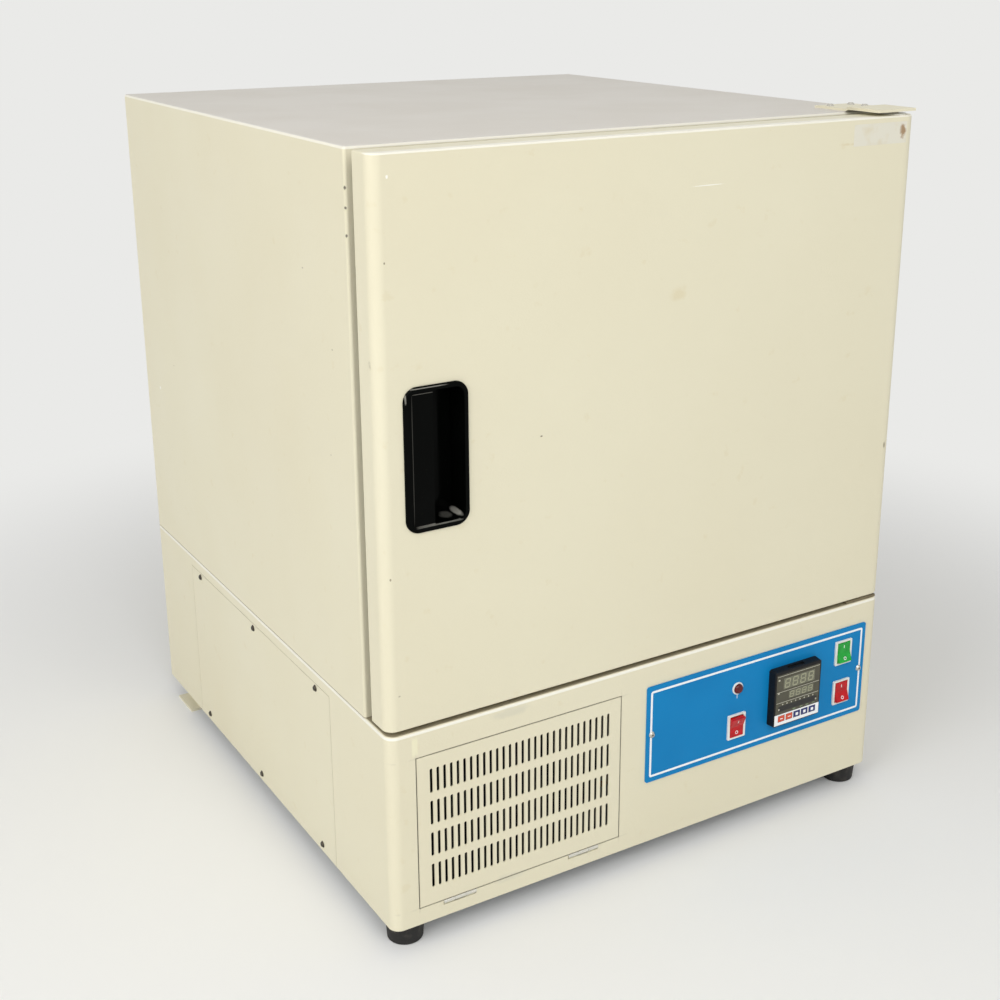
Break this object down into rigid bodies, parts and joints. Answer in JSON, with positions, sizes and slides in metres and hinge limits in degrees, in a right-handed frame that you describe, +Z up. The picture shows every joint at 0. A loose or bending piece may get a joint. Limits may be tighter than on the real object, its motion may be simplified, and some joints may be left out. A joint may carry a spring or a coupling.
{
  "type": "refrigerated incubator",
  "caption": "Cream steel laboratory incubator with a side-hinged insulated door over a cooling base with an intake grille and a blue control panel.",
  "frame": {"origin": "on the floor, under the middle of the whole object", "axes": "+Z up, -Y to the front where the door and the controls are, +X to the right as seen from the front"},
  "size_m": [0.6638, 0.7038, 0.8255],
  "materials": {
    "cream_paint": "semi gloss cream paint",
    "zinc_steel": "zinc plated",
    "hinge_steel": "plated",
    "stainless": "brushed",
    "shelf_steel": "polished wire",
    "heater_steel": "heat dulled sheath",
    "plated_screw": "plated",
    "dark_screw": "blackened",
    "aluminium": "mill finish",
    "copper": "drawn copper tube",
    "motor_black": "black paint",
    "compressor_black": "gloss black paint",
    "blue_panel": "satin blue paint with a white border line",
    "grey_plastic": "matt",
    "white_plastic": "gloss",
    "black_plastic": "matt",
    "handle_black": "gloss",
    "controller_black": "fine matt",
    "window_grey": "display behind clear plastic, unlit",
    "key_red": "film with a white centre",
    "key_blue": "film with a white centre",
    "red_rocker": "translucent red",
    "green_rocker": "translucent green",
    "lamp_red": "dark red lens, unlit",
    "foam": "foamed in place",
    "gasket_grey": "soft vinyl",
    "black_rubber": "moulded"
  },
  "bodies": {
    "cabinet": {"access_panels": "cream_paint", "base_back_panel": "cream_paint", "base_deck": "zinc_steel", "base_floor": "zinc_steel", "base_shell": "cream_paint", "bottom_hinge_bracket": "cream_paint", "breaker_frame": "grey_plastic", "cabinet_back": "cream_paint", "cabinet_insulation": "foam", "cabinet_shell": "cream_paint", "casing_screws": "dark_screw", "chamber_liner": "stainless", "circulation_fan_motor": "motor_black", "compressor": "compressor_black", "compressor_grommets": "black_rubber", "condenser_coil": "aluminium", "condenser_fan_motor": "motor_black", "condenser_shroud": "zinc_steel", "control_panel": "blue_panel", "control_panel_screws": "plated_screw", "controller_case": "controller_black", "controller_window": "window_grey", "electrical_box": "zinc_steel", "evaporator_coil": "aluminium", "front_feet": "black_rubber", "grille_catch": "black_plastic", "grille_fixed_leaves": "hinge_steel", "heater_element": "heater_steel", "hinge_screws": "plated_screw", "pilot_lamp_bezel": "white_plastic", "pilot_lamp_lens": "lamp_red", "plenum_cover": "stainless", "power_inlet": "black_plastic", "rear_foot_brackets": "cream_paint", "refrigerant_pipes": "copper", "shelf_clips": "stainless", "shelf_pilasters": "stainless", "switch_housings": "white_plastic", "temperature_probe": "stainless", "top_hinge_bracket": "cream_paint"},
    "door": {"door_shell": "cream_paint", "door_insulation": "foam", "door_liner": "stainless", "door_gasket": "gasket_grey", "handle_pull": "handle_black", "door_bushes": "white_plastic"},
    "grille": {"grille_door": "cream_paint", "grille_moving_leaves": "hinge_steel"},
    "refrigeration_switch": {"refrigeration_rocker": "green_rocker"},
    "power_switch": {"power_rocker": "red_rocker"},
    "contact_switch": {"contact_rocker": "red_rocker"},
    "lower_shelf_frame": {"lower_shelf": "shelf_steel"},
    "upper_shelf_frame": {"upper_shelf": "shelf_steel"},
    "circulation_impeller": {"circulation_fan": "aluminium"},
    "condenser_impeller": {"condenser_fan": "aluminium"},
    "key_1": {"controller_key_1": "key_red"},
    "key_2": {"controller_key_2": "key_red"},
    "key_3": {"controller_key_3": "key_blue"},
    "key_4": {"controller_key_4": "key_blue"},
    "key_5": {"controller_key_5": "key_blue"}
  },
  "joints": [
    {"name": "door_swing", "type": "hinge", "parent": "cabinet", "child": "door", "pos_m": [0.312, -0.32205, 0.536], "axis": [0, 0, 1], "range_deg": [0, 135]},
    {"name": "grille_swing", "type": "hinge", "parent": "cabinet", "child": "grille", "pos_m": [-0.1745, -0.33805, 0.042], "axis": [1, 0, 0], "range_deg": [0, 95]},
    {"name": "refrigeration_switch_tip", "type": "hinge", "parent": "cabinet", "child": "refrigeration_switch", "pos_m": [0.2738, -0.33955, 0.1899], "axis": [1, 0, 0], "range_deg": [0, 20]},
    {"name": "power_switch_tip", "type": "hinge", "parent": "cabinet", "child": "power_switch", "pos_m": [0.2738, -0.33955, 0.1378], "axis": [1, 0, 0], "range_deg": [0, 20]},
    {"name": "contact_switch_tip", "type": "hinge", "parent": "cabinet", "child": "contact_switch", "pos_m": [0.1124, -0.33955, 0.1378], "axis": [1, 0, 0], "range_deg": [-20, 0]},
    {"name": "key_1_press", "type": "slide", "parent": "cabinet", "child": "key_1", "axis": [0, 1, 0], "range_m": [0, 0.0005], "stiffness_N_per_m": 900},
    {"name": "key_2_press", "type": "slide", "parent": "cabinet", "child": "key_2", "axis": [0, 1, 0], "range_m": [0, 0.0005], "stiffness_N_per_m": 900},
    {"name": "key_3_press", "type": "slide", "parent": "cabinet", "child": "key_3", "axis": [0, 1, 0], "range_m": [0, 0.0005], "stiffness_N_per_m": 900},
    {"name": "key_4_press", "type": "slide", "parent": "cabinet", "child": "key_4", "axis": [0, 1, 0], "range_m": [0, 0.0005], "stiffness_N_per_m": 900},
    {"name": "key_5_press", "type": "slide", "parent": "cabinet", "child": "key_5", "axis": [0, 1, 0], "range_m": [0, 0.0005], "stiffness_N_per_m": 900},
    {"name": "lower_shelf_lift", "type": "slide", "parent": "cabinet", "child": "lower_shelf_frame", "axis": [0, 0, 1], "range_m": [0, 0.03]},
    {"name": "upper_shelf_lift", "type": "slide", "parent": "cabinet", "child": "upper_shelf_frame", "axis": [0, 0, 1], "range_m": [0, 0.03]},
    {"name": "circulation_fan_spin", "type": "hinge", "parent": "cabinet", "child": "circulation_impeller", "pos_m": [0, 0.25495, 0.612], "axis": [0, 1, 0], "continuous": true},
    {"name": "condenser_fan_spin", "type": "hinge", "parent": "cabinet", "child": "condenser_impeller", "pos_m": [-0.174, -0.23125, 0.1105], "axis": [0, 1, 0], "continuous": true}
  ]
}
